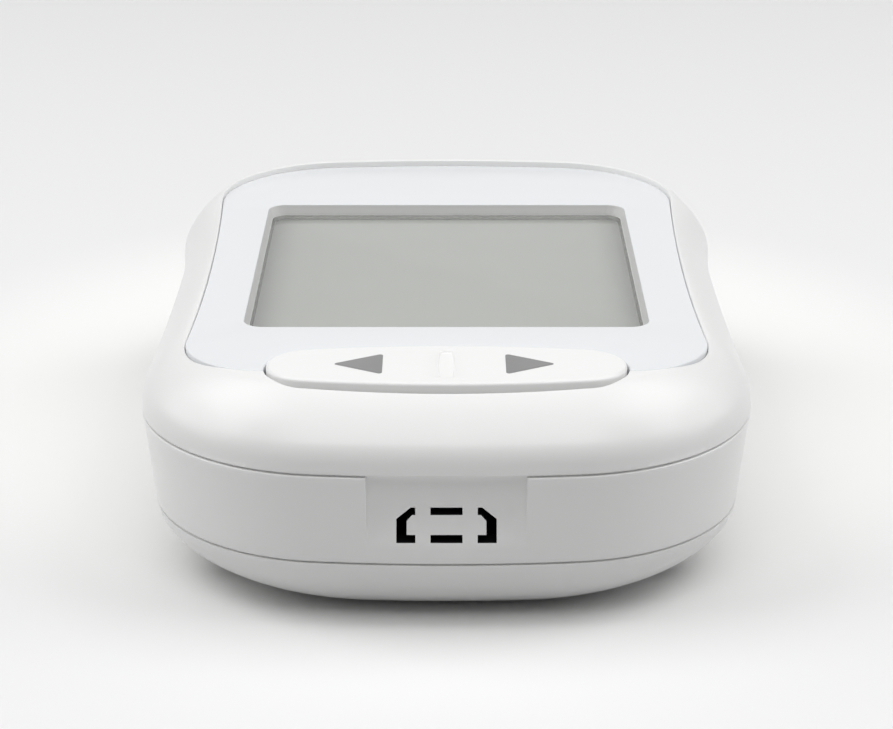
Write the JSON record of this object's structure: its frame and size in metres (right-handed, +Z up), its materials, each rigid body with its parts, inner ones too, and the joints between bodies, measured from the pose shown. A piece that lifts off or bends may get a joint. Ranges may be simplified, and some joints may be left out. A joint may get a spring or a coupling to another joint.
{
  "type": "blood glucose meter",
  "caption": "Palm-sized blood glucose meter with a large display window, an oval rocker key, a test strip slot and a battery door underneath.",
  "frame": {"origin": "middle of the bounding box at the flat base", "axes": "+X across to the right as the display is read, +Y from the key towards the strip slot, +Z up out of the display"},
  "size_m": [0.054, 0.077, 0.0214],
  "materials": {
    "shell_white": "satin gloss moulded shell",
    "panel_pale": "printed cover, glossy",
    "key_white": "satin gloss key",
    "lens_clear": "clear window",
    "lcd_grey": "grey-green display film over glass",
    "frame_white": "moulded tray",
    "zebra_rubber": "layered contact rubber",
    "board_green": "solder mask on laminate",
    "chip_black": "moulded package",
    "steel": "plated steel",
    "spring_steel": "nickel-plated spring strip",
    "contact_gold": "gold-plated spring fingers",
    "cell_wrap": "sleeved cell"
  },
  "bodies": {
    "housing": {"upper_case": "shell_white", "mid_case": "shell_white", "lower_case": "shell_white", "face_panel": "panel_pale", "display_lens": "lens_clear", "lcd_glass": "lcd_grey", "lcd_frame": "frame_white", "zebra_strip": "zebra_rubber", "tact_switches": "chip_black", "main_board": "board_green", "microcontroller": "chip_black", "memory_chip": "chip_black", "crystal": "steel", "chip_parts": "chip_black", "buzzer": "chip_black", "strip_guide": "shell_white", "strip_connector": "frame_white", "strip_contacts": "contact_gold", "cell_left": "cell_wrap", "cell_right": "cell_wrap", "link_contact": "spring_steel", "positive_contact": "spring_steel", "negative_contact": "spring_steel", "case_screws": "steel"},
    "key": {"rocker_key": "key_white"},
    "door": {"battery_door": "shell_white"}
  },
  "joints": [
    {"name": "key_rock", "type": "hinge", "parent": "housing", "child": "key", "pos_m": [0, -0.02942, 0.0176], "axis": [0, 1, 0], "range_deg": [-2, 2], "stiffness_Nm_per_rad": 0.15},
    {"name": "door_swing", "type": "hinge", "parent": "housing", "child": "door", "pos_m": [0, 0.0252, 0.0009], "axis": [1, 0, 0], "range_deg": [0, 40]}
  ]
}
